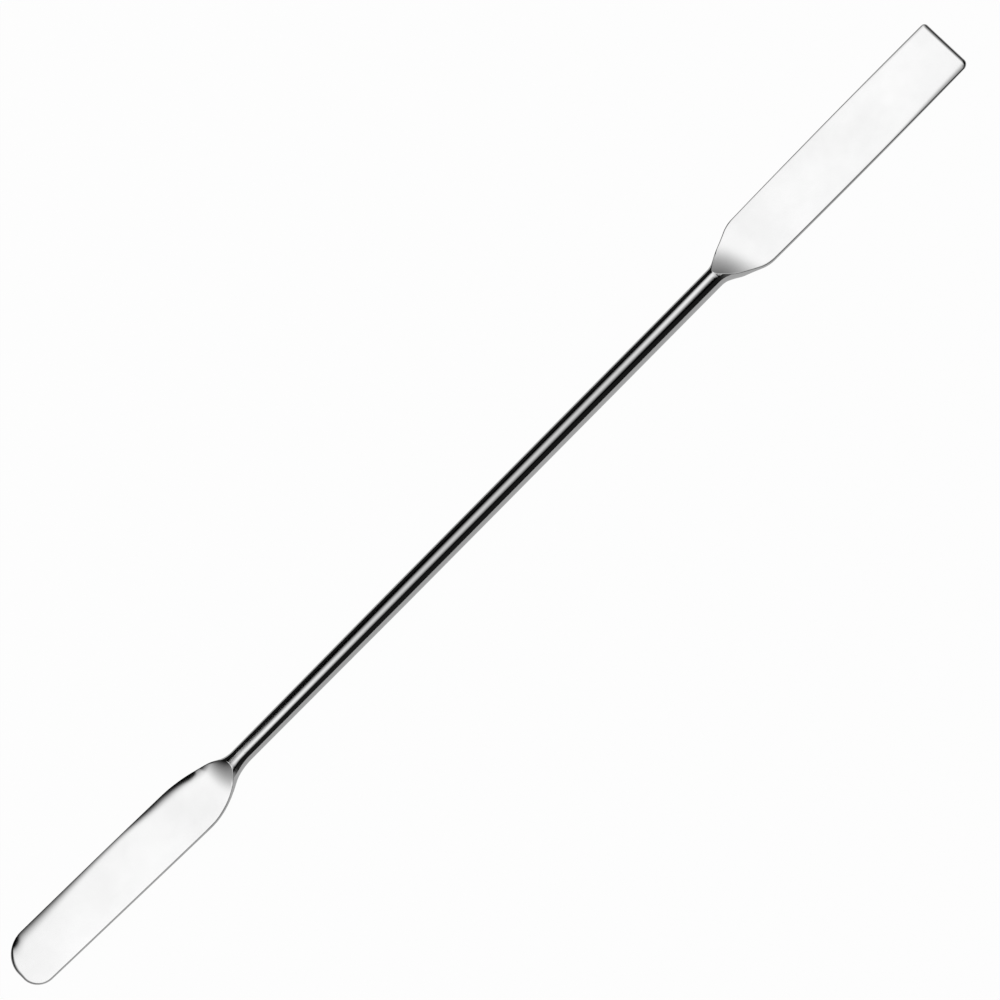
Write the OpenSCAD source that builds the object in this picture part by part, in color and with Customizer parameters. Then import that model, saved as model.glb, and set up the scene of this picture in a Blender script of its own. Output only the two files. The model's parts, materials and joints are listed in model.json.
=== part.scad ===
// Double-ended laboratory spatula, forged from one stainless steel bar.
// One end of the bar is flattened to a round-nosed blade, the other to a square one.
// The handle is the bar itself, left round. +X runs to the square end, +Z is up,
// and the origin lies under the middle, on the surface that the handle rests on.
// The spatula lies as it comes to rest: rolled about the bar until the round blade's
// edge on the +Y side touches that surface too.

/* [Overall] */
// Length from the round tip to the square tip
overall_len = 185; // [160:1:225]

/* [Handle] */
// Diameter of the bar along its parallel middle
bar_d = 3; // [2.4:0.05:3.8]
// Length of the parallel middle, which the spatula rests on
bar_parallel_len = 34; // [20:1:45]
// Diameter of the bar where the round blade's neck starts
round_neck_d = 2.75; // [2.2:0.05:3.6]
// Diameter of the bar where the square blade's neck starts
square_neck_d = 3; // [2.4:0.05:3.6]

/* [Blade section] */
// Thickness of both blades at the foot of the ramp
root_thick = 0.7; // [0.5:0.05:1.1]
// Thickness of both blades at the tip
tip_thick = 0.55; // [0.4:0.05:0.9]
// How far the blades' middle plane lies below the bar's axis
blade_drop = 0.1; // [0:0.05:0.5]

/* [Round blade] */
// Length from the top of the ramp to the tip
round_len = 41.9; // [33:0.1:51]
// Width where the shoulders end
round_root_w = 8.85; // [7:0.05:11]
// Width at the nose, before its corners
round_tip_w = 8.6; // [7:0.05:11]
// Extra width halfway along the sides
round_belly = 0.06; // [0:0.02:0.3]
// Radius of the nose's corner on the +Y side
round_far_r = 4.5; // [1:0.1:5]
// Radius of the nose's corner on the -Y side
round_near_r = 2.9; // [1:0.1:3.5]
// Angle by which the blade leans to +Y, in degrees
round_lean = 1.6; // [0:0.05:3]
// Angle of the tip's edge off square, in degrees
round_skew = 0; // [0:0.1:3]
// Slope of the shoulders against the bar, in degrees
round_flank = 29; // [20:0.5:40]
// Radius of the hollow between bar and shoulder
round_hollow_r = 4.2; // [1:0.1:6]
// Radius of the shoulder's rounded corner
round_shoulder_r = 13; // [2:0.1:20]
// Length of the ramp from the bar's top to the flat face
round_ramp = 2.4; // [1.5:0.1:5]

/* [Square blade] */
// Length from the top of the ramp to the tip
square_len = 46.1; // [36:0.1:56]
// Width where the shoulders end
square_root_w = 9.05; // [7:0.05:11]
// Width at the end, before its corners
square_tip_w = 9.3; // [7:0.05:11]
// Extra width halfway along the sides
square_belly = 0.26; // [0:0.02:0.3]
// Radius of the end's corner on the +Y side
square_far_r = 0.6; // [0.4:0.1:3]
// Radius of the end's corner on the -Y side
square_near_r = 1; // [0.4:0.1:3]
// Angle by which the blade leans to +Y, in degrees
square_lean = 0.15; // [0:0.05:3]
// Angle of the end's edge off square, in degrees
square_skew = 1.2; // [0:0.1:3]
// Slope of the shoulders against the bar, in degrees
square_flank = 27.5; // [20:0.5:40]
// Radius of the hollow between bar and shoulder
square_hollow_r = 2.7; // [1:0.1:6]
// Radius of the shoulder's rounded corner
square_shoulder_r = 4.8; // [2:0.1:20]
// Length of the ramp from the bar's top to the flat face
square_ramp = 3.8; // [1.5:0.1:5]

/* [Hidden] */

// How far each neck starts to widen before the top of its ramp
round_lead = 1.45;
square_lead = 0.45;
// Where the ramps start, along X
round_ramp_x = -overall_len / 2 + round_len;
square_ramp_x = overall_len / 2 - square_len;
// Length of the plug that ties a blade into the bar, and its share of the bar's size
plug_len = 1;
plug_share = 0.9;
// How far inside the bar's surface the necks start, so that the two don't touch along a line
neck_inset = 0.02;
// Sides of the bar's round section
bar_sides = 96;
// Points along one rounded edge, from the top face to the underside
edge_points = 14;
// Steps between rings along the widening neck, the ramp, the shoulder, the sides,
// the tip's corners and its rounded-over edge
lead_rings = 4;
ramp_rings = 8;
shoulder_rings = 8;
side_rings = 4;
corner_rings = 7;
tip_rings = 4;
// How far round the tip's edge the last ring lies, in degrees, where the end is closed flat
tip_turn = 80;
// The rounded edges stop just short of a full half round, so that every face keeps a width
edge_share = 0.99;

// n + 1 even steps from a to b
function steps(a, b, n) = [for (i = [0 : n]) a + (b - a) * i / n];

// Height of a circular arc of radius r, at x from the place where it is level
function arc_rise(r, x) = r - sqrt(r * r - x * x);

// Plan of a neck, which gains half a blade's width less half the bar's.
// The shoulder's radius is limited by that gain.
function shoulder_radius(root_w, neck_r, flank, hollow_r, shoulder_r) =
    min(shoulder_r, (root_w / 2 - neck_r) / (1 - cos(flank)) - hollow_r);

// Where a neck's shoulder ends, as a distance from the top of the ramp
function shoulder_end(root_w, neck_r, flank, hollow_r, shoulder_r, lead) =
    let (
        round_r = shoulder_radius(root_w, neck_r, flank, hollow_r, shoulder_r),
        straight_gain = root_w / 2 - neck_r - (hollow_r + round_r) * (1 - cos(flank))
    )
    -lead + (hollow_r + round_r) * sin(flank) + straight_gain / tan(flank);

// Half width of a blade between its shoulders and its tip, with the belly of its sides
function blade_half(u, shoulder, reach, root_w, tip_w, belly) =
    let (s = (u - shoulder) / (reach - shoulder))
    (root_w + (tip_w - root_w) * s) / 2 + belly * 2 * s * (1 - s);

// How far a blade's middle line lies off the bar's axis: it leans from halfway along the neck
function lean_off(u, shoulder, lean) =
    let (d = max(0, u - shoulder / 2), blend = shoulder / 2)
    tan(lean) * (d < blend ? d * d / (2 * blend) : d - blend / 2);

// Half thickness of a blade's flat faces
function half_thick(u, reach) =
    (root_thick + (tip_thick - root_thick) * max(0, u) / reach) / 2;

// How far the spatula rolls until the round blade's far edge touches the surface:
// the lowest place is where the nose's corner starts, and the edge is a half round there.
rest_roll =
    let (
        neck_r = round_neck_d / 2 - neck_inset,
        shoulder = shoulder_end(round_root_w, neck_r, round_flank, round_hollow_r,
                                round_shoulder_r, round_lead),
        corner = round_len - round_far_r,
        h = half_thick(corner, round_len),
        y = lean_off(corner, shoulder, round_lean) - h
            + blade_half(corner, shoulder, round_len, round_root_w, round_tip_w, round_belly)
    )
    asin((bar_d / 2 - h) / norm([y, blade_drop])) - atan2(blade_drop, y);

// The bar, turned true: parallel in the middle and drawn down a little to each neck.
module bar() {
    half = bar_parallel_len / 2;
    x0 = round_ramp_x + round_lead;
    x1 = square_ramp_x - square_lead;
    outline = [
        [0, x0], [round_neck_d / 2, x0], [bar_d / 2, -half],
        [bar_d / 2, half], [square_neck_d / 2, x1], [0, x1]
    ];
    rotate([0, 90, 0])
        rotate_extrude($fn = bar_sides)
            polygon(outline);
}

// One flattened end, pointing to +X, with the top of its ramp at x = 0.
// Each ring is the section at one place along it: two rounded edges joined by flat faces.
// The edges are round like the bar at the neck and half rounds of the blade's thickness
// further out, and the ramp cuts them off at its own height.
// The far edge is the one on the +Y side, and the near edge the one on the -Y side.
module blade(reach, root_w, tip_w, belly, far_r, near_r, lean, skew,
             flank, hollow_r, shoulder_r, ramp, neck_d, lead) {
    neck_r = neck_d / 2 - neck_inset;
    tip_h = tip_thick / 2;

    // Plan of the neck: hollow, straight flank and rounded shoulder
    round_r = shoulder_radius(root_w, neck_r, flank, hollow_r, shoulder_r);
    shoulder = shoulder_end(root_w, neck_r, flank, hollow_r, shoulder_r, lead);
    hollow_end = -lead + hollow_r * sin(flank);
    flank_end = shoulder - round_r * sin(flank);
    function neck_half(u) =
        u < hollow_end ? neck_r + arc_rise(hollow_r, u + lead)
        : u < flank_end ? neck_r + hollow_r * (1 - cos(flank)) + (u - hollow_end) * tan(flank)
        : root_w / 2 - arc_rise(round_r, shoulder - u);

    // Plan of the blade: sides with a slight belly, and a corner at the tip
    function side_half(u) = blade_half(u, shoulder, reach, root_w, tip_w, belly);
    function past_corner(u, r) = max(0, u - (reach - r));
    function half_w(u, r) = u < shoulder ? neck_half(u)
        : side_half(u) - arc_rise(r, past_corner(u, r));

    function middle(u) = lean_off(u, shoulder, lean);

    // Side view: half thickness of the flat faces, and the hollow ramp up to the bar's top
    function flat_h(u) = half_thick(u, reach);
    ramp_rise = neck_r - flat_h(0);
    ramp_r = (ramp * ramp + ramp_rise * ramp_rise) / (2 * ramp_rise);
    function face_h(u) = flat_h(u) + arc_rise(ramp_r, min(ramp, max(0, ramp - max(0, u))));
    function edge_h(u) = let (s = min(1, max(0, u / shoulder)))
        neck_r + (flat_h(u) - neck_r) * s;
    function level(u) = let (s = min(1, max(0, u / shoulder))) -blade_drop * s * s * (3 - 2 * s);

    // The tip's edge is rounded over too: 1 behind it, 0 at the very end
    function tip_share(u) = let (d = min(tip_h, max(0, u - (reach - tip_h))))
        sqrt(1 - d * d / (tip_h * tip_h));

    // A rounded edge: its depth follows the corner's turn, so that it keeps its form there
    function depth(u, r, h) = let (d = past_corner(u, r))
        min(h * r / sqrt(r * r - d * d), (half_w(u, far_r) + half_w(u, near_r)) / 2);
    function edge(u, side, r, h, cut) = let (d = depth(u, r, h), a = asin(cut / h)) [
        for (t = steps(a, -a, edge_points - 1))
            let (y = middle(u) + side * (half_w(u, r) - d + d * cos(t)))
                [u - tan(skew) * (y + tip_w / 2) * u / reach, y, level(u) + h * sin(t)]
    ];
    function reversed(list) = [for (i = [len(list) - 1 : -1 : 0]) list[i]];
    function ring(u, share = 1) =
        let (
            h = edge_h(u) * tip_share(u),
            cut = min(face_h(u) * tip_share(u), edge_share * h),
            points = concat(edge(u, -1, near_r, h, cut), reversed(edge(u, 1, far_r, h, cut)))
        )
        [for (p = points) [p[0], p[1] * share, p[2] * share]];

    // Places of the rings: close together where the form turns
    corner = max(far_r, near_r);
    lead_in = steps(-lead, 0, lead_rings);
    down_ramp = [for (s = steps(0, 1, ramp_rings)) if (s > 0) ramp * s * s];
    up_shoulder = [for (u = steps(ramp, shoulder, shoulder_rings)) if (u > ramp) u];
    along = [for (u = steps(shoulder, reach - corner, side_rings)) if (u > shoulder) u];
    round_corner = [for (a = steps(0, asin(1 - tip_h / corner), corner_rings))
        if (a > 0) reach - corner + corner * sin(a)];
    over_tip = [for (a = steps(0, tip_turn, tip_rings)) if (a > 0) reach - tip_h + tip_h * sin(a)];
    places = concat(lead_in, down_ramp, up_shoulder, along, round_corner, over_tip);

    plug = [for (p = ring(-lead, plug_share)) p - [plug_len, 0, 0]];
    rings = concat([plug], [for (u = places) ring(u)]);
    n = 2 * edge_points;
    last = len(rings) - 1;
    walls = [for (i = [0 : last - 1]) for (j = [0 : n - 1])
        let (a = i * n + j, b = i * n + (j + 1) % n)
            for (face = [[a, b + n, b], [a, a + n, b + n]]) face];
    caps = [[for (j = [0 : n - 1]) j], [for (j = [n - 1 : -1 : 0]) last * n + j]];
    polyhedron([for (r = rings) each r], concat(walls, caps));
}

module spatula() {
    color("silver")
        translate([0, 0, bar_d / 2]) rotate([-rest_roll, 0, 0]) {
            bar();
            translate([round_ramp_x, 0, 0])
                mirror([1, 0, 0])
                    blade(round_len, round_root_w, round_tip_w, round_belly,
                          round_far_r, round_near_r, round_lean, round_skew,
                          round_flank, round_hollow_r, round_shoulder_r, round_ramp,
                          round_neck_d, round_lead);
            translate([square_ramp_x, 0, 0])
                blade(square_len, square_root_w, square_tip_w, square_belly,
                      square_far_r, square_near_r, square_lean, square_skew,
                      square_flank, square_hollow_r, square_shoulder_r, square_ramp,
                      square_neck_d, square_lead);
        }
}

spatula();
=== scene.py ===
import json
import math

import bmesh
import bpy
from mathutils import Matrix, Vector


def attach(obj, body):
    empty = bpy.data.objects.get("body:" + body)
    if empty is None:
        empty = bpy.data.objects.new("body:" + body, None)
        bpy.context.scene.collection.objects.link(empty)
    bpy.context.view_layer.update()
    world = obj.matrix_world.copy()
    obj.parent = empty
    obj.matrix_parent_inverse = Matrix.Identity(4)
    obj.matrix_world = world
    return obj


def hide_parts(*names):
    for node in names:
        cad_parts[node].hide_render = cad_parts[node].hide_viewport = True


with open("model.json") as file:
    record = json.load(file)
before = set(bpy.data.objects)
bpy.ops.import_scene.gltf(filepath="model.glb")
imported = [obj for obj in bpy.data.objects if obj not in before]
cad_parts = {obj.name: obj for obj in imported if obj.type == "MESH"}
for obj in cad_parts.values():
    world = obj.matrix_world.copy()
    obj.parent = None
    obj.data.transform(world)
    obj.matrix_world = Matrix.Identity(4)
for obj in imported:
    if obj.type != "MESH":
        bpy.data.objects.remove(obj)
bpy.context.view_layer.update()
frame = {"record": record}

# ---------------------------------------------------------------------------------------
# The spatula: one round bar of stainless steel, forged flat at both ends into thin blades,
# with a hollow ramp down to each of them, and then ground and polished all over.
# It is one piece, and it lies loose on the bench.
# ---------------------------------------------------------------------------------------
# Each half is one surface from the middle of the bar to the blade's tip. One tree of nodes
# makes both, each from its own sizes in millimetres, in the bar's own frame: x along the bar,
# y across the blades, z up from the bar's axis.
MM = 0.001
BAR_R = 1.5
HALF_LENGTH = 92.5
# Half the length of the bar's parallel middle, and how far the blades lie below its axis
PARALLEL_HALF = 17
BLADE_DROP = 0.1

# Stretches on the ramp, as shares of its foot's distance from its top: where the bar's round
# edges narrow to the blade's, where the blade's section takes over from the cut through the
# bar, and where the faces' roll-offs grow
EDGES_NARROW = (-0.1, 0.6)
BLADE_TAKES_OVER = (0.2, 1.1)
ROLL_OFFS_GROW = (0.2, 1)
WHOLE_RAMP = (0, 1)
# The crease where the ramp cuts the bar's round: its width at the top, and what the foot adds
CREASE_WIDTH = 0.02
CREASE_GROWTH = 0.25
# The least that the edges and the roll-offs keep, a hair off the height that closes the very
# edge, where its two sides meet, and the distance within which points are welded
LEAST_HALF_THICKNESS = 0.03
LEAST_WIDTH = 0.01
CLOSING_HAIR = 0.0008
WELD = 0.0003

# Steps of the surface along the bar, zone by zone, and across it
BAR_STEPS = 24
LEAD_STEPS = 18
RAMP_STEPS = 44
SHOULDER_STEPS = 40
SIDE_STEPS = 50
CORNER_STEPS = 44
END_STEPS = 16
RIM_STEPS = 15
FACE_STEPS = 40
# The ramp's steps crowd to its top by this power. The section's rims go up to at most a
# share of the half thickness there, and in to at most a share of the half width.
RAMP_CROWDING = 1.5
RIM_RISE = 0.966
RIM_DEPTH = 0.98

# Sizes of each half. Far is the edge on the +Y side, near the one on the -Y side. Polishing
# has rolled the faces off gently towards their edges, over the width of a roll-off, and an
# edge radius is the narrow round at the very edge. Flank, lean and skew are in degrees, ramp
# form is a power, and the slant, the slopes and the places of the roll-offs are shares.
ROUND_END = {
    "Side": -1,
    "Length": 41.9,
    "Neck radius": 1.375,
    "Lead": 1.45,
    "Flank": 29,
    "Far hollow radius": 4.2,
    "Near hollow radius": 9,
    "Far shoulder radius": 19,
    "Near shoulder radius": 11,
    "Far half width at the root": 4.425,
    "Near half width at the root": 4.52,
    "Far half width at the tip": 4.3,
    "Near half width at the tip": 4.3,
    "Belly": 0.06,
    "Far corner radius": 4.5,
    "Near corner radius": 2.9,
    "Lean": 1.6,
    "Skew": 0,
    "Ramp": 5.9,
    "Ramp form": 3.2,
    "Ramp slant": 0,
    "Ramp crown": 0.12,
    "Ramp foot": 4,
    "Crown": 0.02,
    "Root thickness": 0.7,
    "Tip thickness": 0.55,
    "Far edge radius": 0.12,
    "Near edge radius": 0.08,
    "Far radius of the end": 0.75,
    "Near radius of the end": 0.2,
    "Far slope at the edge": 0.23,
    "Far roll-off at the root": 1.75,
    "Far roll-off at the middle": 0.95,
    "Far roll-off at the tip": 2.1,
    "Near slope at the edge": 0.09,
    "Near roll-off at the root": 0.4,
    "Near roll-off at the middle": 0.4,
    "Near roll-off at the tip": 0.4,
    "Middle of the roll-offs": 0.3,
    "Tip of the roll-offs": 1,
}
SQUARE_END = {
    "Side": 1,
    "Length": 46.1,
    "Neck radius": 1.5,
    "Lead": 0.45,
    "Flank": 27.5,
    "Far hollow radius": 2.7,
    "Near hollow radius": 2.7,
    "Far shoulder radius": 4.8,
    "Near shoulder radius": 4.8,
    "Far half width at the root": 4.525,
    "Near half width at the root": 4.65,
    "Far half width at the tip": 4.65,
    "Near half width at the tip": 4.79,
    "Belly": 0.26,
    "Far corner radius": 0.6,
    "Near corner radius": 1,
    "Lean": 0.15,
    "Skew": 1.2,
    "Ramp": 7.8,
    "Ramp form": 3,
    "Ramp slant": 0.28,
    "Ramp crown": 0.06,
    "Ramp foot": 4.6,
    "Crown": 0.02,
    "Root thickness": 0.7,
    "Tip thickness": 0.55,
    "Far edge radius": 0.18,
    "Near edge radius": 0.11,
    "Far radius of the end": 0.65,
    "Near radius of the end": 0.55,
    "Far slope at the edge": 0.2,
    "Far roll-off at the root": 0.3,
    "Far roll-off at the middle": 0.45,
    "Far roll-off at the tip": 0.75,
    "Near slope at the edge": 0.28,
    "Near roll-off at the root": 0.3,
    "Near roll-off at the middle": 0.35,
    "Near roll-off at the tip": 0.85,
    "Middle of the roll-offs": 0.55,
    "Tip of the roll-offs": 0.95,
}


class Worked:
    """A size worked out by a tree of nodes: + - * / ** on it add the nodes that do the sum."""

    def __init__(self, tree, socket):
        self.tree = tree
        self.socket = socket

    def __add__(self, other):
        return worked(self.tree, "ADD", self, other)

    __radd__ = __add__

    def __sub__(self, other):
        return worked(self.tree, "SUBTRACT", self, other)

    def __rsub__(self, other):
        return worked(self.tree, "SUBTRACT", other, self)

    def __mul__(self, other):
        return worked(self.tree, "MULTIPLY", self, other)

    __rmul__ = __mul__

    def __truediv__(self, other):
        return worked(self.tree, "DIVIDE", self, other)

    def __rtruediv__(self, other):
        return worked(self.tree, "DIVIDE", other, self)

    def __pow__(self, other):
        return worked(self.tree, "POWER", self, other)


def worked(tree, operation, *values):
    """One node that does one operation on sizes or plain numbers."""
    node = tree.nodes.new("ShaderNodeMath")
    node.operation = operation
    for value, place in zip(values, node.inputs):
        if isinstance(value, Worked):
            tree.links.new(value.socket, place)
        else:
            place.default_value = value
    return Worked(tree, node.outputs[0])


def root(a):
    return worked(a.tree, "SQRT", a)


def sine(a):
    return worked(a.tree, "SINE", a)


def cosine(a):
    return worked(a.tree, "COSINE", a)


def tangent(a):
    return worked(a.tree, "TANGENT", a)


def smaller(a, b):
    return worked(a.tree, "MINIMUM", a, b)


def larger(a, b):
    return worked(a.tree, "MAXIMUM", a, b)


def absolute(a):
    return worked(a.tree, "ABSOLUTE", a)


def kept_between(a, low, high):
    return smaller(larger(a, low), high)


def share(a, start, end):
    """0 before start, 1 past end, and even in between."""
    return kept_between((a - start) / (end - start), 0, 1)


def eased(s):
    """A share from 0 to 1 that starts and ends level."""
    return s * s * (3 - 2 * s)


def arc_rise(r, x):
    """Height of an arc of radius r at x from the place where it is level."""
    return r - root(larger(r * r - x * x, 0))


def blended_smaller(a, b, width):
    """The smaller of two heights, with the corner between them rounded over a width."""
    overlap = larger(width - absolute(a - b), 0)
    return smaller(a, b) - overlap * overlap / (4 * width)


def forged_half_tree(steel):
    """Nodes for one half: a grid of points, each of them put in its place by its sizes."""
    tree = bpy.data.node_groups.new("forged half", "GeometryNodeTree")
    tree.interface.new_socket("Geometry", in_out="OUTPUT", socket_type="NodeSocketGeometry")
    for name in ROUND_END:
        tree.interface.new_socket(name, in_out="INPUT", socket_type="NodeSocketFloat")
    given = tree.nodes.new("NodeGroupInput")

    def size(name):
        return Worked(tree, given.outputs[name])

    # The grid: one row of points for each place along the bar, each row once round it
    zones = [BAR_STEPS, LEAD_STEPS, RAMP_STEPS, SHOULDER_STEPS, SIDE_STEPS, CORNER_STEPS, END_STEPS]
    half_round = 2 * RIM_STEPS + FACE_STEPS
    once_round = 2 * half_round
    grid = tree.nodes.new("GeometryNodeMeshGrid")
    grid.inputs["Vertices X"].default_value = sum(zones) + 1
    grid.inputs["Vertices Y"].default_value = once_round + 1
    index = Worked(tree, tree.nodes.new("GeometryNodeInputIndex").outputs[0])
    row = worked(tree, "FLOOR", (index + 0.5) / (once_round + 1))
    step = index - row * (once_round + 1)

    def zone_share(zone):
        start = sum(zones[:zone])
        return share(row, start, start + zones[zone])

    # Plan: the neck widens by a hollow, a straight flank and a shoulder on each side,
    # and the blade's sides run from there to the tip with a slight belly
    side = size("Side")
    length = size("Length")
    neck_r = size("Neck radius")
    lead = size("Lead")
    flank = size("Flank") * math.radians(1)
    flank_sine = sine(flank)
    flank_gain = 1 - cosine(flank)
    flank_slope = tangent(flank)

    def side_of(name):
        """One side's sizes, with the places where its hollow starts and its shoulder ends."""
        hollow_r = size(name + " hollow radius")
        shoulder_r = size(name + " shoulder radius")
        root_half = size(name + " half width at the root")
        straight = (root_half - neck_r - (hollow_r + shoulder_r) * flank_gain) / flank_slope
        start = (hollow_r - size("Far hollow radius")) * tangent(flank / 2) + lead
        return {
            "hollow": hollow_r,
            "start": start,
            "straight": straight,
            "radius": shoulder_r,
            "end": (hollow_r + shoulder_r) * flank_sine - start + straight,
            "corner": size(name + " corner radius"),
            "root": root_half,
            "tip": size(name + " half width at the tip"),
        }

    far = side_of("Far")
    near = side_of("Near")
    shoulder = (far["end"] + near["end"]) / 2
    corner = larger(far["corner"], near["corner"])

    # Places along the half, as distances u from the top of the ramp
    ramp = size("Ramp")
    foot = size("Ramp foot")
    ramp_place = HALF_LENGTH - length
    end_roll = larger(size("Far radius of the end"), size("Near radius of the end"))
    last_turn = worked(tree, "ARCSINE", 1 - end_roll / corner)
    u = (
        zone_share(0) * (ramp_place - near["start"]) - ramp_place
        + (1 - (1 - zone_share(1)) ** 2) * near["start"]
        + zone_share(2) ** RAMP_CROWDING * foot
        + zone_share(3) * (shoulder - foot)
        + zone_share(4) * (length - corner - shoulder)
        + sine(zone_share(5) * last_turn) * corner
        + sine(zone_share(6) * (math.pi / 2)) * end_roll
    )

    def half_width(edge):
        """Half width on one side, before the tip's corner is taken off."""
        hollow_length = edge["hollow"] * flank_sine
        hollow = arc_rise(edge["hollow"], kept_between(u + edge["start"], 0, hollow_length))
        past_hollow = u + edge["start"] - hollow_length
        straight = kept_between(past_hollow, 0, edge["straight"]) * flank_slope
        turned = edge["radius"] * flank_sine
        left = arc_rise(edge["radius"], kept_between(edge["end"] - u, 0, turned))
        neck = hollow + straight + edge["radius"] * flank_gain - left
        s = share(u, edge["end"], length)
        taper = s * (edge["tip"] - edge["root"]) + s * (1 - s) * 2 * size("Belly")
        return neck_half + neck + taper

    # The bar is parallel in the middle and drawn down a little to the neck
    drawn = share(u, PARALLEL_HALF - ramp_place, lead * -1)
    neck_half = BAR_R + drawn * (neck_r - BAR_R)
    far_half = half_width(far)
    near_half = half_width(near)

    def down_foot(stretch):
        """0 before a stretch of the ramp, 1 past it, and eased in between."""
        return eased(share(u, foot * stretch[0], foot * stretch[1]))

    # Side view: the blade thins a little to its tip, and a hollow ramp leads up to the bar's top
    half_thick = (
        size("Root thickness")
        + (size("Tip thickness") - size("Root thickness")) * share(u, 0, length)
    ) / 2
    ramp_rise = neck_r - size("Root thickness") / 2
    ramp_slope = ramp_rise * size("Ramp form") / ramp
    down_neck = share(u, 0, shoulder)
    stock = neck_half + (half_thick - neck_half) * down_neck
    down_ramp = down_foot(WHOLE_RAMP)
    off_ramp = down_foot(BLADE_TAKES_OVER)
    level = eased(down_neck) * -BLADE_DROP

    # The edges: as round as the bar at the neck, and narrow on the blade
    def edge_radius(name, half):
        return half + (size(name + " edge radius") - half) * down_foot(EDGES_NARROW)

    far_round = edge_radius("Far", far_half)
    near_round = edge_radius("Near", near_half)

    # How wide the faces' roll-offs are, place by place from the ramp's foot to the tip
    along = share(u, shoulder, length)
    middle = size("Middle of the roll-offs")

    def roll_off(name):
        at_root = size(name + " roll-off at the root")
        at_middle = size(name + " roll-off at the middle")
        at_tip = size(name + " roll-off at the tip")
        width = (
            at_root
            + (at_middle - at_root) * eased(share(along, 0, middle))
            + (at_tip - at_middle) * eased(share(along, middle, size("Tip of the roll-offs")))
        )
        return larger(width * down_foot(ROLL_OFFS_GROW), LEAST_WIDTH)

    def face_height(at):
        """Half thickness between the faces: the hollow ramp goes on straight past its top."""
        hollow = ramp_rise * (1 - share(at, 0, ramp)) ** size("Ramp form")
        return half_thick + hollow + larger(at * -1, 0) * ramp_slope

    # Places across: the steps crowd in the two rims, whose inner ends follow the place
    # where the ramp cuts the bar's round, so that the edge there is crisp
    around = smaller(step, once_round - step)
    upper = worked(tree, "LESS_THAN", step, half_round) * 2 - 1
    cut = kept_between(face_height(u) / stock, 0, RIM_RISE)
    rim_turn = worked(tree, "ARCSINE", cut)

    def past_corner(edge):
        return kept_between(u - length + edge["corner"], 0, edge["corner"])

    def edge_place(edge, half):
        return half - arc_rise(edge["corner"], past_corner(edge))

    far_edge = edge_place(far, far_half)
    near_edge = edge_place(near, near_half)
    middle_half = (far_edge + near_edge) / 2

    def rim_depth(edge, roll):
        turned = root(larger(edge["corner"] ** 2 - past_corner(edge) ** 2, LEAST_WIDTH ** 2))
        return smaller(roll * edge["corner"] / turned, middle_half * RIM_DEPTH)

    def rim_in(edge, roll, steps):
        turn = rim_turn * kept_between(steps / RIM_STEPS, 0, 1)
        return rim_depth(edge, roll) * (1 - cosine(turn))

    near_y = rim_in(near, near_round, around) - near_edge
    far_y = far_edge - rim_in(far, far_round, half_round - around)
    across = share(around, RIM_STEPS, RIM_STEPS + FACE_STEPS)
    spread = (1 - cosine(across * math.pi)) / 2
    y = near_y + (far_y - near_y) * spread

    # Height: the section's rounded edges, cut off by the face
    to_far = eased(share(y, near_half * -1, far_half))
    end_round = size("Near radius of the end")
    end_round = end_round + (size("Far radius of the end") - end_round) * to_far

    def at_edge(name, edge, half, round_off, out):
        """The share of the height that one side and the tip leave, and the face's drop there."""
        past_end = u - length + edge["corner"]
        past_side = out - half + edge["corner"]
        beyond = root(larger(past_end, 0) ** 2 + larger(past_side, 0) ** 2)
        inside = edge["corner"] - beyond - smaller(larger(past_end, past_side), 0)
        turning = edge["corner"] / 2
        to_end = eased(share(past_end - past_side, turning * -1, turning))
        from_edge = kept_between(inside / (round_off + (end_round - round_off) * to_end), 0, 1)
        width = roll_off(name)
        rolled = 1 - kept_between(inside / width, 0, 1)
        drop = size(name + " slope at the edge") * width / 2 * (rolled * rolled) * (1 - to_end)
        return root(1 - (1 - from_edge) ** 2), drop

    far_rise, far_drop = at_edge("Far", far, far_half, far_round, y)
    near_rise, near_drop = at_edge("Near", near, near_half, near_round, y * -1)
    rise = smaller(far_rise, near_rise)
    off_middle = y / (far_half + near_half) * 2
    crown = size("Crown") * down_neck * (off_middle * off_middle)
    crown = crown + size("Ramp crown") * (off_middle * off_middle) * (1 - down_ramp)
    face = face_height(u + y * size("Ramp slant")) - crown
    crease = CREASE_WIDTH + down_ramp * CREASE_GROWTH
    cut_height = blended_smaller(stock * rise, face + CREASE_WIDTH / 2, crease)
    blade_height = larger(face - far_drop - near_drop, LEAST_HALF_THICKNESS) * rise
    height = cut_height + (blade_height - cut_height) * off_ramp
    height = larger(height - CLOSING_HAIR, 0)

    # The blade leans off the bar's axis, and its end is a little off square
    half_neck = shoulder / 2
    off = larger(u - half_neck, 0)
    early = smaller(off, half_neck)
    lean_slope = tangent(size("Lean") * math.radians(1))
    y = y + (off - early + early * early / (2 * half_neck)) * lean_slope
    skew = tangent(size("Skew") * math.radians(1)) * (y + near["tip"]) * share(u, 0, length)

    place = tree.nodes.new("ShaderNodeCombineXYZ")
    tree.links.new(((ramp_place + u - skew) * side * MM).socket, place.inputs["X"])
    tree.links.new((y * MM).socket, place.inputs["Y"])
    tree.links.new(((level + upper * height) * MM).socket, place.inputs["Z"])
    moved = tree.nodes.new("GeometryNodeSetPosition")
    tree.links.new(grid.outputs["Mesh"], moved.inputs["Geometry"])
    tree.links.new(place.outputs[0], moved.inputs["Position"])
    real = tree.nodes.new("GeometryNodeRealizeInstances")
    tree.links.new(moved.outputs[0], real.inputs[0])
    coated = tree.nodes.new("GeometryNodeSetMaterial")
    coated.inputs["Material"].default_value = steel
    tree.links.new(real.outputs[0], coated.inputs["Geometry"])
    result = tree.nodes.new("NodeGroupOutput")
    tree.links.new(coated.outputs[0], result.inputs[0])
    return tree


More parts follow.
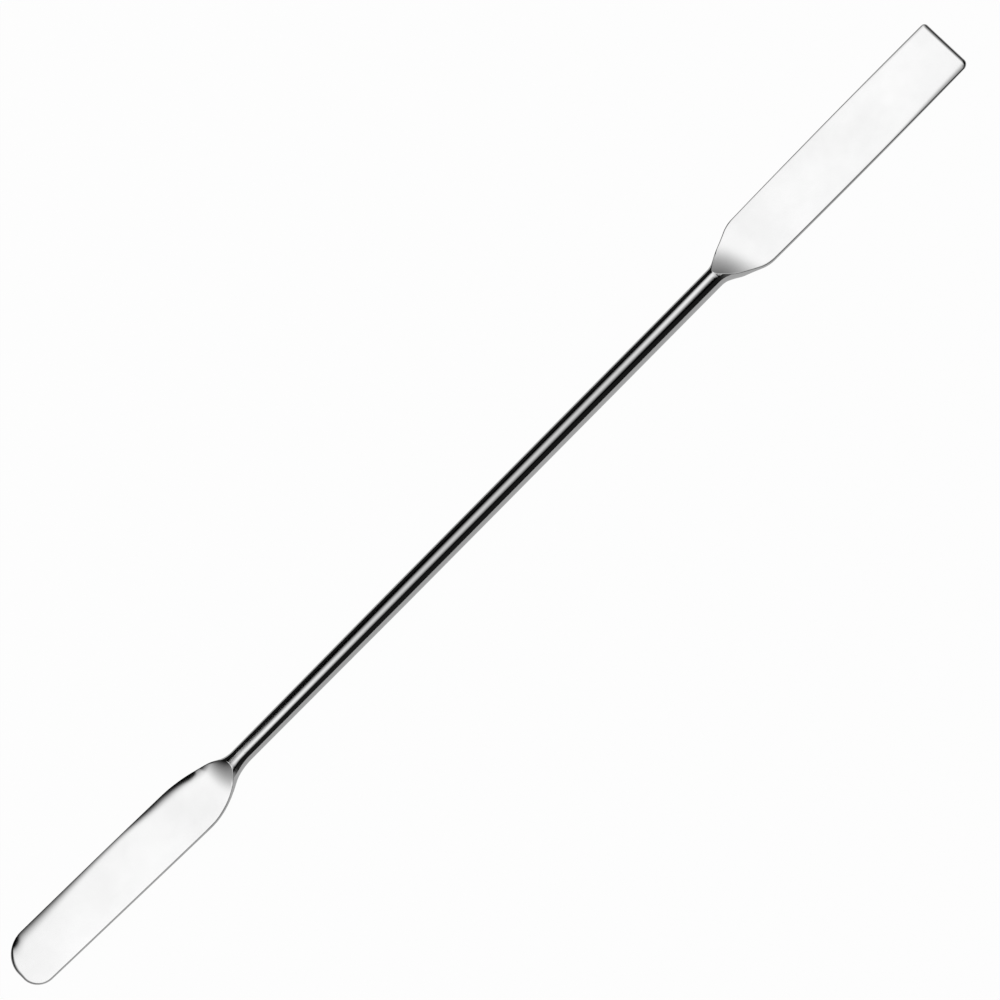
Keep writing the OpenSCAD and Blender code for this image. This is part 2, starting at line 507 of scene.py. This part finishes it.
def forged_half(tree, name, sizes):
    """The plain mesh of one half, made by the tree from its own sizes."""
    piece = bpy.data.objects.new(name, bpy.data.meshes.new(name))
    bpy.context.collection.objects.link(piece)
    maker = piece.modifiers.new("forged half", "NODES")
    maker.node_group = tree
    for socket in tree.interface.items_tree:
        if socket.name in sizes:
            maker[socket.identifier] = float(sizes[socket.name])
    evaluated = piece.evaluated_get(bpy.context.evaluated_depsgraph_get())
    mesh = bpy.data.meshes.new_from_object(evaluated)
    bpy.data.objects.remove(piece)
    return mesh


# Polished stainless steel: a pale grey with faint cloudy patches from the polishing, and
# fine lines that run along the tool.
STEEL_COLOUR = (0.64, 0.64, 0.64)
STEEL_ROUGHNESS = 0.085
# How much the clouds change the colour and the roughness, how many of them go to a metre,
# and how fine and sharp they are
TINT_CHANGE = 0.04
ROUGHNESS_CHANGE = 0.015
CLOUD_SCALE = 140
CLOUD_DETAIL = 4
CLOUD_GRAIN = 0.6
CLOUD_DARK_UP_TO = 0.3
CLOUD_PALE_FROM = 0.7
# The lines are long along the bar and narrow across it, and very shallow
POLISH_LINES = (120, 5200, 5200)
POLISH_DETAIL = 3
POLISH_DEPTH = 0.0000012


def polished_steel():
    steel = bpy.data.materials.new("polished steel")
    steel.use_nodes = True
    nodes = steel.node_tree.nodes
    links = steel.node_tree.links
    shader = nodes["Principled BSDF"]
    shader.inputs["Metallic"].default_value = 1

    place = nodes.new("ShaderNodeTexCoord")
    cloud = nodes.new("ShaderNodeTexNoise")
    cloud.inputs["Scale"].default_value = CLOUD_SCALE
    cloud.inputs["Detail"].default_value = CLOUD_DETAIL
    cloud.inputs["Roughness"].default_value = CLOUD_GRAIN
    links.new(place.outputs["Object"], cloud.inputs["Vector"])
    tint = nodes.new("ShaderNodeMix")
    tint.data_type = "RGBA"
    tint.inputs["A"].default_value = (*[c * (1 - TINT_CHANGE) for c in STEEL_COLOUR], 1)
    tint.inputs["B"].default_value = (*[c * (1 + TINT_CHANGE) for c in STEEL_COLOUR], 1)
    patch = nodes.new("ShaderNodeMapRange")
    patch.inputs["From Min"].default_value = CLOUD_DARK_UP_TO
    patch.inputs["From Max"].default_value = CLOUD_PALE_FROM
    links.new(cloud.outputs["Fac"], patch.inputs["Value"])
    links.new(patch.outputs["Result"], tint.inputs["Factor"])
    links.new(tint.outputs["Result"], shader.inputs["Base Color"])

    along = nodes.new("ShaderNodeMapping")
    along.inputs["Scale"].default_value = POLISH_LINES
    links.new(place.outputs["Object"], along.inputs["Vector"])
    lines = nodes.new("ShaderNodeTexNoise")
    lines.inputs["Scale"].default_value = 1
    lines.inputs["Detail"].default_value = POLISH_DETAIL
    links.new(along.outputs["Vector"], lines.inputs["Vector"])
    worn = nodes.new("ShaderNodeMapRange")
    worn.inputs["To Min"].default_value = STEEL_ROUGHNESS - ROUGHNESS_CHANGE
    worn.inputs["To Max"].default_value = STEEL_ROUGHNESS + ROUGHNESS_CHANGE
    links.new(cloud.outputs["Fac"], worn.inputs["Value"])
    links.new(worn.outputs["Result"], shader.inputs["Roughness"])
    bump = nodes.new("ShaderNodeBump")
    bump.inputs["Distance"].default_value = POLISH_DEPTH
    links.new(lines.outputs["Fac"], bump.inputs["Height"])
    links.new(bump.outputs["Normal"], shader.inputs["Normal"])
    return steel


steel = polished_steel()
half_tree = forged_half_tree(steel)
joined = bmesh.new()
joined.from_mesh(forged_half(half_tree, "round end", ROUND_END))
joined.from_mesh(forged_half(half_tree, "square end", SQUARE_END))
bmesh.ops.remove_doubles(joined, verts=joined.verts, dist=WELD * MM)
bmesh.ops.recalc_face_normals(joined, faces=joined.faces)
for face in joined.faces:
    face.smooth = True

# The bar lies on the bench, rolled until one blade's edge touches it too. The square blade's
# top is one of the frame's mounts, and its axis gives the roll.
mounts = {mount["name"]: mount for mount in frame["record"]["mounts"]}
face_up = Vector(mounts["square_blade_top"]["axis"])
roll = math.atan2(face_up.y, face_up.z)
lie = Matrix.Translation((0, 0, BAR_R * MM)) @ Matrix.Rotation(-roll, 4, "X")
joined.transform(lie)

mesh = bpy.data.meshes.new("spatula")
joined.to_mesh(mesh)
joined.free()
mesh.materials.clear()
mesh.materials.append(steel)
spatula = bpy.data.objects.new("polished_spatula", mesh)
bpy.context.collection.objects.link(spatula)
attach(spatula, "root")
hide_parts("spatula")

# ---------------------------------------------------------------------------------------
# The bench: a plain board, painted matt white, that the spatula lies on.
# It looks evenly white, with only a trace of the tool's soft shadow.
# ---------------------------------------------------------------------------------------
BENCH_REACH = 2
BENCH_COLOUR = (0.72, 0.72, 0.72, 1)
# How much of what is seen straight is the board's own white, and not its shading
WHITE_SHARE = 0.975


def seen_straight(tree):
    """1 for what is seen, straight or by a mirror or through glass, and 0 for what is only lit."""
    ray = tree.nodes.new("ShaderNodeLightPath")
    camera_sees = Worked(tree, ray.outputs["Is Camera Ray"])
    mirror_sees = Worked(tree, ray.outputs["Is Glossy Ray"])
    glass_sees = Worked(tree, ray.outputs["Is Transmission Ray"])
    return camera_sees + mirror_sees + glass_sees


def white_board():
    board = bpy.data.materials.new("white board")
    board.use_nodes = True
    nodes = board.node_tree.nodes
    links = board.node_tree.links
    nodes.remove(nodes["Principled BSDF"])
    matt = nodes.new("ShaderNodeBsdfDiffuse")
    matt.inputs["Color"].default_value = BENCH_COLOUR
    white = nodes.new("ShaderNodeEmission")
    own_white = seen_straight(board.node_tree) * WHITE_SHARE
    mixed = nodes.new("ShaderNodeMixShader")
    links.new(own_white.socket, mixed.inputs["Fac"])
    links.new(matt.outputs[0], mixed.inputs[1])
    links.new(white.outputs[0], mixed.inputs[2])
    links.new(mixed.outputs[0], nodes["Material Output"].inputs["Surface"])
    return board


def flat_panel(name, corners, material):
    """One flat four-sided face through the given corners."""
    panel = bpy.data.meshes.new(name)
    panel.from_pydata([tuple(c) for c in corners], [], [(0, 1, 2, 3)])
    panel.materials.append(material)
    piece = bpy.data.objects.new(name, panel)
    bpy.context.collection.objects.link(piece)
    return piece


bench = flat_panel(
    "bench",
    [
        (-BENCH_REACH, -BENCH_REACH, 0),
        (BENCH_REACH, -BENCH_REACH, 0),
        (BENCH_REACH, BENCH_REACH, 0),
        (-BENCH_REACH, BENCH_REACH, 0),
    ],
    white_board(),
)

# ---------------------------------------------------------------------------------------
# The light: a soft panel of cloth hung square to the blades' faces, with a long glow that
# slants across the bar and a second one over the round end, in a dark tent that gives the
# steel its black lines. Only reflections see the tent, so the bench stays evenly white.
# ---------------------------------------------------------------------------------------
# The panel, in metres from the middle of the bar
PANEL_HEIGHT = 0.25
PANEL_HALF_LENGTH = 0.6
PANEL_NEAR = -0.3
PANEL_FAR = 0.42
# Brightness of its glow over the middle of the bar and over the blades, the places along
# the bar where it grows from one to the other, and how it fades past the blades' ends
BAR_GLOW = 0.92
BLADE_GLOW = 1.48
GLOW_GROWS_FROM = 0.02
GLOW_GROWS_TO = 0.052
FADE_FROM = 0.09
FADE_LENGTH = 0.07
FADE_LEAVES = 0.2
# The long glow: how its middle line slants to the far side, more so over the round end, how
# far to the near side it lies, and its step to the far side where the square end starts
LINE_SLANT = 0.9
ROUND_END_SLANT = 0.35
LINE_NEAR_BY = 0.0155
STEP_FROM = 0.04
STEP_TO = 0.052
STEP_FAR_BY = 0.06
LONG_GLOW_REACH = 0.21
# The second glow, from where the round end starts: its middle line, and how far it reaches
# to each side. The far side's reach grows over the blade, and is less again past its tip.
ROUND_END_FROM = -0.054
ROUND_BLADE_FROM = -0.066
ROUND_TIP_FROM = -0.112
ROUND_TIP_TO = -0.126
ROUND_LINE = 0.1
ROUND_NEAR_REACH = 0.33
ROUND_FAR_REACH = 0.14
ROUND_BLADE_ADDS = 0.1
ROUND_TIP_TAKES = 0.08


def level_place(tree):
    """The place along the object and the place across it, as sizes for sums."""
    place = tree.nodes.new("ShaderNodeTexCoord")
    parts = tree.nodes.new("ShaderNodeSeparateXYZ")
    tree.links.new(place.outputs["Object"], parts.inputs[0])
    return Worked(tree, parts.outputs["X"]), Worked(tree, parts.outputs["Y"])


def glowing(name):
    """A material that only glows, and the socket for how brightly."""
    glow = bpy.data.materials.new(name)
    glow.use_nodes = True
    nodes = glow.node_tree.nodes
    nodes.remove(nodes["Principled BSDF"])
    light = nodes.new("ShaderNodeEmission")
    glow.node_tree.links.new(light.outputs[0], nodes["Material Output"].inputs["Surface"])
    return glow, light.inputs["Strength"]


def panel_glow():
    glow, strength = glowing("panel glow")
    tree = glow.node_tree
    x, y = level_place(tree)
    end_way = absolute(x)

    # Across: each glow is brightest on its own middle line and fades to both sides
    line = x * LINE_SLANT + smaller(x, 0) * ROUND_END_SLANT - LINE_NEAR_BY
    line = line + share(x, STEP_FROM, STEP_TO) * STEP_FAR_BY
    long_glow = eased(1 - smaller(absolute(y - line) / LONG_GLOW_REACH, 1))
    far_reach = ROUND_FAR_REACH + share(x, ROUND_END_FROM, ROUND_BLADE_FROM) * ROUND_BLADE_ADDS
    far_reach = far_reach - share(x, ROUND_TIP_FROM, ROUND_TIP_TO) * ROUND_TIP_TAKES
    far_fade = share(y, ROUND_LINE + far_reach, ROUND_LINE)
    near_fade = share(y, ROUND_LINE - ROUND_NEAR_REACH, ROUND_LINE)
    round_glow = eased(smaller(far_fade, near_fade))
    over_round = worked(tree, "LESS_THAN", x, ROUND_END_FROM)
    glow_across = long_glow + (round_glow - long_glow) * over_round

    # Along: brighter over the blades, fading out past their ends
    growth = eased(share(end_way, GLOW_GROWS_FROM, GLOW_GROWS_TO))
    peak = BAR_GLOW + (BLADE_GLOW - BAR_GLOW) * growth
    past = larger(end_way - FADE_FROM, 0) / FADE_LENGTH
    fade = (1 - FADE_LEAVES) / (1 + past * past) + FADE_LEAVES
    tree.links.new((glow_across * peak * fade).socket, strength)
    return glow


panel = flat_panel(
    "soft panel",
    [
        (-PANEL_HALF_LENGTH, PANEL_NEAR, PANEL_HEIGHT),
        (-PANEL_HALF_LENGTH, PANEL_FAR, PANEL_HEIGHT),
        (PANEL_HALF_LENGTH, PANEL_FAR, PANEL_HEIGHT),
        (PANEL_HALF_LENGTH, PANEL_NEAR, PANEL_HEIGHT),
    ],
    panel_glow(),
)
panel.matrix_world = lie
panel.visible_camera = False

# A narrow pale card under the tool, as level as its blades. It lights nothing and takes no
# shadow: it glows at a fixed strength, a painted reflection of the bench for the steel to show.
# Reflections see it, and the dark tent to both sides of it, in place of the bench.
CARD_REACH = 1.3
CARD_HALF_WIDTH = 0.0155
CARD_LEVEL = -BAR_R * MM
CARD_GLOW = 0.55
# The card's glow is painted: it stands in for the bench's reflection in the steel, without the
# tool's shadow.
pale, pale_strength = glowing("painted bench reflection card")
pale_strength.default_value = CARD_GLOW
under = flat_panel(
    "painted bench reflection card",
    [
        (-CARD_REACH, -CARD_HALF_WIDTH, CARD_LEVEL),
        (CARD_REACH, -CARD_HALF_WIDTH, CARD_LEVEL),
        (CARD_REACH, CARD_HALF_WIDTH, CARD_LEVEL),
        (-CARD_REACH, CARD_HALF_WIDTH, CARD_LEVEL),
    ],
    pale,
)
under.matrix_world = lie

# The tent is nearly black to the sides, dark grey towards the ends, and paler slantwise
# between, on the far side, and on the near side over the square end. Its places are shares
# of its radius.
TENT_RADIUS = 1.4
TENT_BLACK = 0.012
TENT_END_GLOW = 0.2
FAR_SLANT_GLOW = 0.2
NEAR_SLANT_GLOW = 0.22
SLANT_END_FROM = 0.3
SLANT_END_TO = 0.6
SLANT_SIDE_FROM = 0.2
SLANT_SIDE_TO = 0.45


def tent_glow():
    glow, strength = glowing("dark tent")
    tree = glow.node_tree
    x, y = level_place(tree)
    end_way = absolute(x) / TENT_RADIUS
    side_way = y / TENT_RADIUS
    over_square = worked(tree, "GREATER_THAN", x, 0)
    far_slant = eased(share(side_way, SLANT_SIDE_FROM, SLANT_SIDE_TO)) * FAR_SLANT_GLOW
    near_slant = eased(share(side_way, -SLANT_SIDE_FROM, -SLANT_SIDE_TO)) * over_square
    near_slant = near_slant * NEAR_SLANT_GLOW
    slant = eased(share(end_way, SLANT_END_FROM, SLANT_END_TO)) * (far_slant + near_slant)
    tree.links.new((end_way * end_way * TENT_END_GLOW + slant + TENT_BLACK).socket, strength)
    return glow


tent_mesh = bpy.data.meshes.new("tent")
dome = bmesh.new()
bmesh.ops.create_icosphere(dome, subdivisions=4, radius=TENT_RADIUS)
dome.to_mesh(tent_mesh)
dome.free()
tent_mesh.materials.append(tent_glow())
tent = bpy.data.objects.new("tent", tent_mesh)
bpy.context.collection.objects.link(tent)
for card in (under, tent):
    card.visible_camera = False
    card.visible_diffuse = False
    card.visible_transmission = False
    card.visible_volume_scatter = False
    card.visible_shadow = False
bench.visible_glossy = False

# The white room all round fills the shadows, and is plain white where it is seen
FILL_STRENGTH = 0.5
world = bpy.data.worlds.new("white room")
bpy.context.scene.world = world
world.use_nodes = True
room = world.node_tree.nodes["Background"]
room.inputs["Color"].default_value = (1, 1, 1, 1)
room_strength = FILL_STRENGTH + seen_straight(world.node_tree) * (1 - FILL_STRENGTH)
world.node_tree.links.new(room_strength.socket, room.inputs["Strength"])

# ---------------------------------------------------------------------------------------
# The camera: far off, high over the near side and leaning from the blades' faces, with a
# long lens. It is turned so that the square end points up to the right.
# ---------------------------------------------------------------------------------------
CAMERA_LEAN = math.radians(25)
CAMERA_TURN = math.radians(45.29)
CAMERA_DISTANCE = 5.861
CAMERA_LENS = 1500
CAMERA_SENSOR = 36
NEAREST_SEEN = 0.01
AIM = (0.00253, -0.00056, -0.0001)

across_view = lie.to_3x3() @ Vector((0, math.cos(CAMERA_LEAN), math.sin(CAMERA_LEAN)))
back = lie.to_3x3() @ Vector((0, -math.sin(CAMERA_LEAN), math.cos(CAMERA_LEAN)))
bar_way = Vector((1, 0, 0))
right = bar_way * math.cos(CAMERA_TURN) - across_view * math.sin(CAMERA_TURN)
up = bar_way * math.sin(CAMERA_TURN) + across_view * math.cos(CAMERA_TURN)
turned = Matrix((right, up, back)).transposed().to_4x4()
camera_data = bpy.data.cameras.new("camera")
camera_data.lens = CAMERA_LENS
camera_data.sensor_width = CAMERA_SENSOR
camera_data.clip_start = NEAREST_SEEN
camera = bpy.data.objects.new("camera", camera_data)
camera.matrix_world = Matrix.Translation(lie @ Vector(AIM) + back * CAMERA_DISTANCE) @ turned
bpy.context.collection.objects.link(camera)
bpy.context.scene.camera = camera
bpy.context.scene.view_settings.view_transform = "Standard"
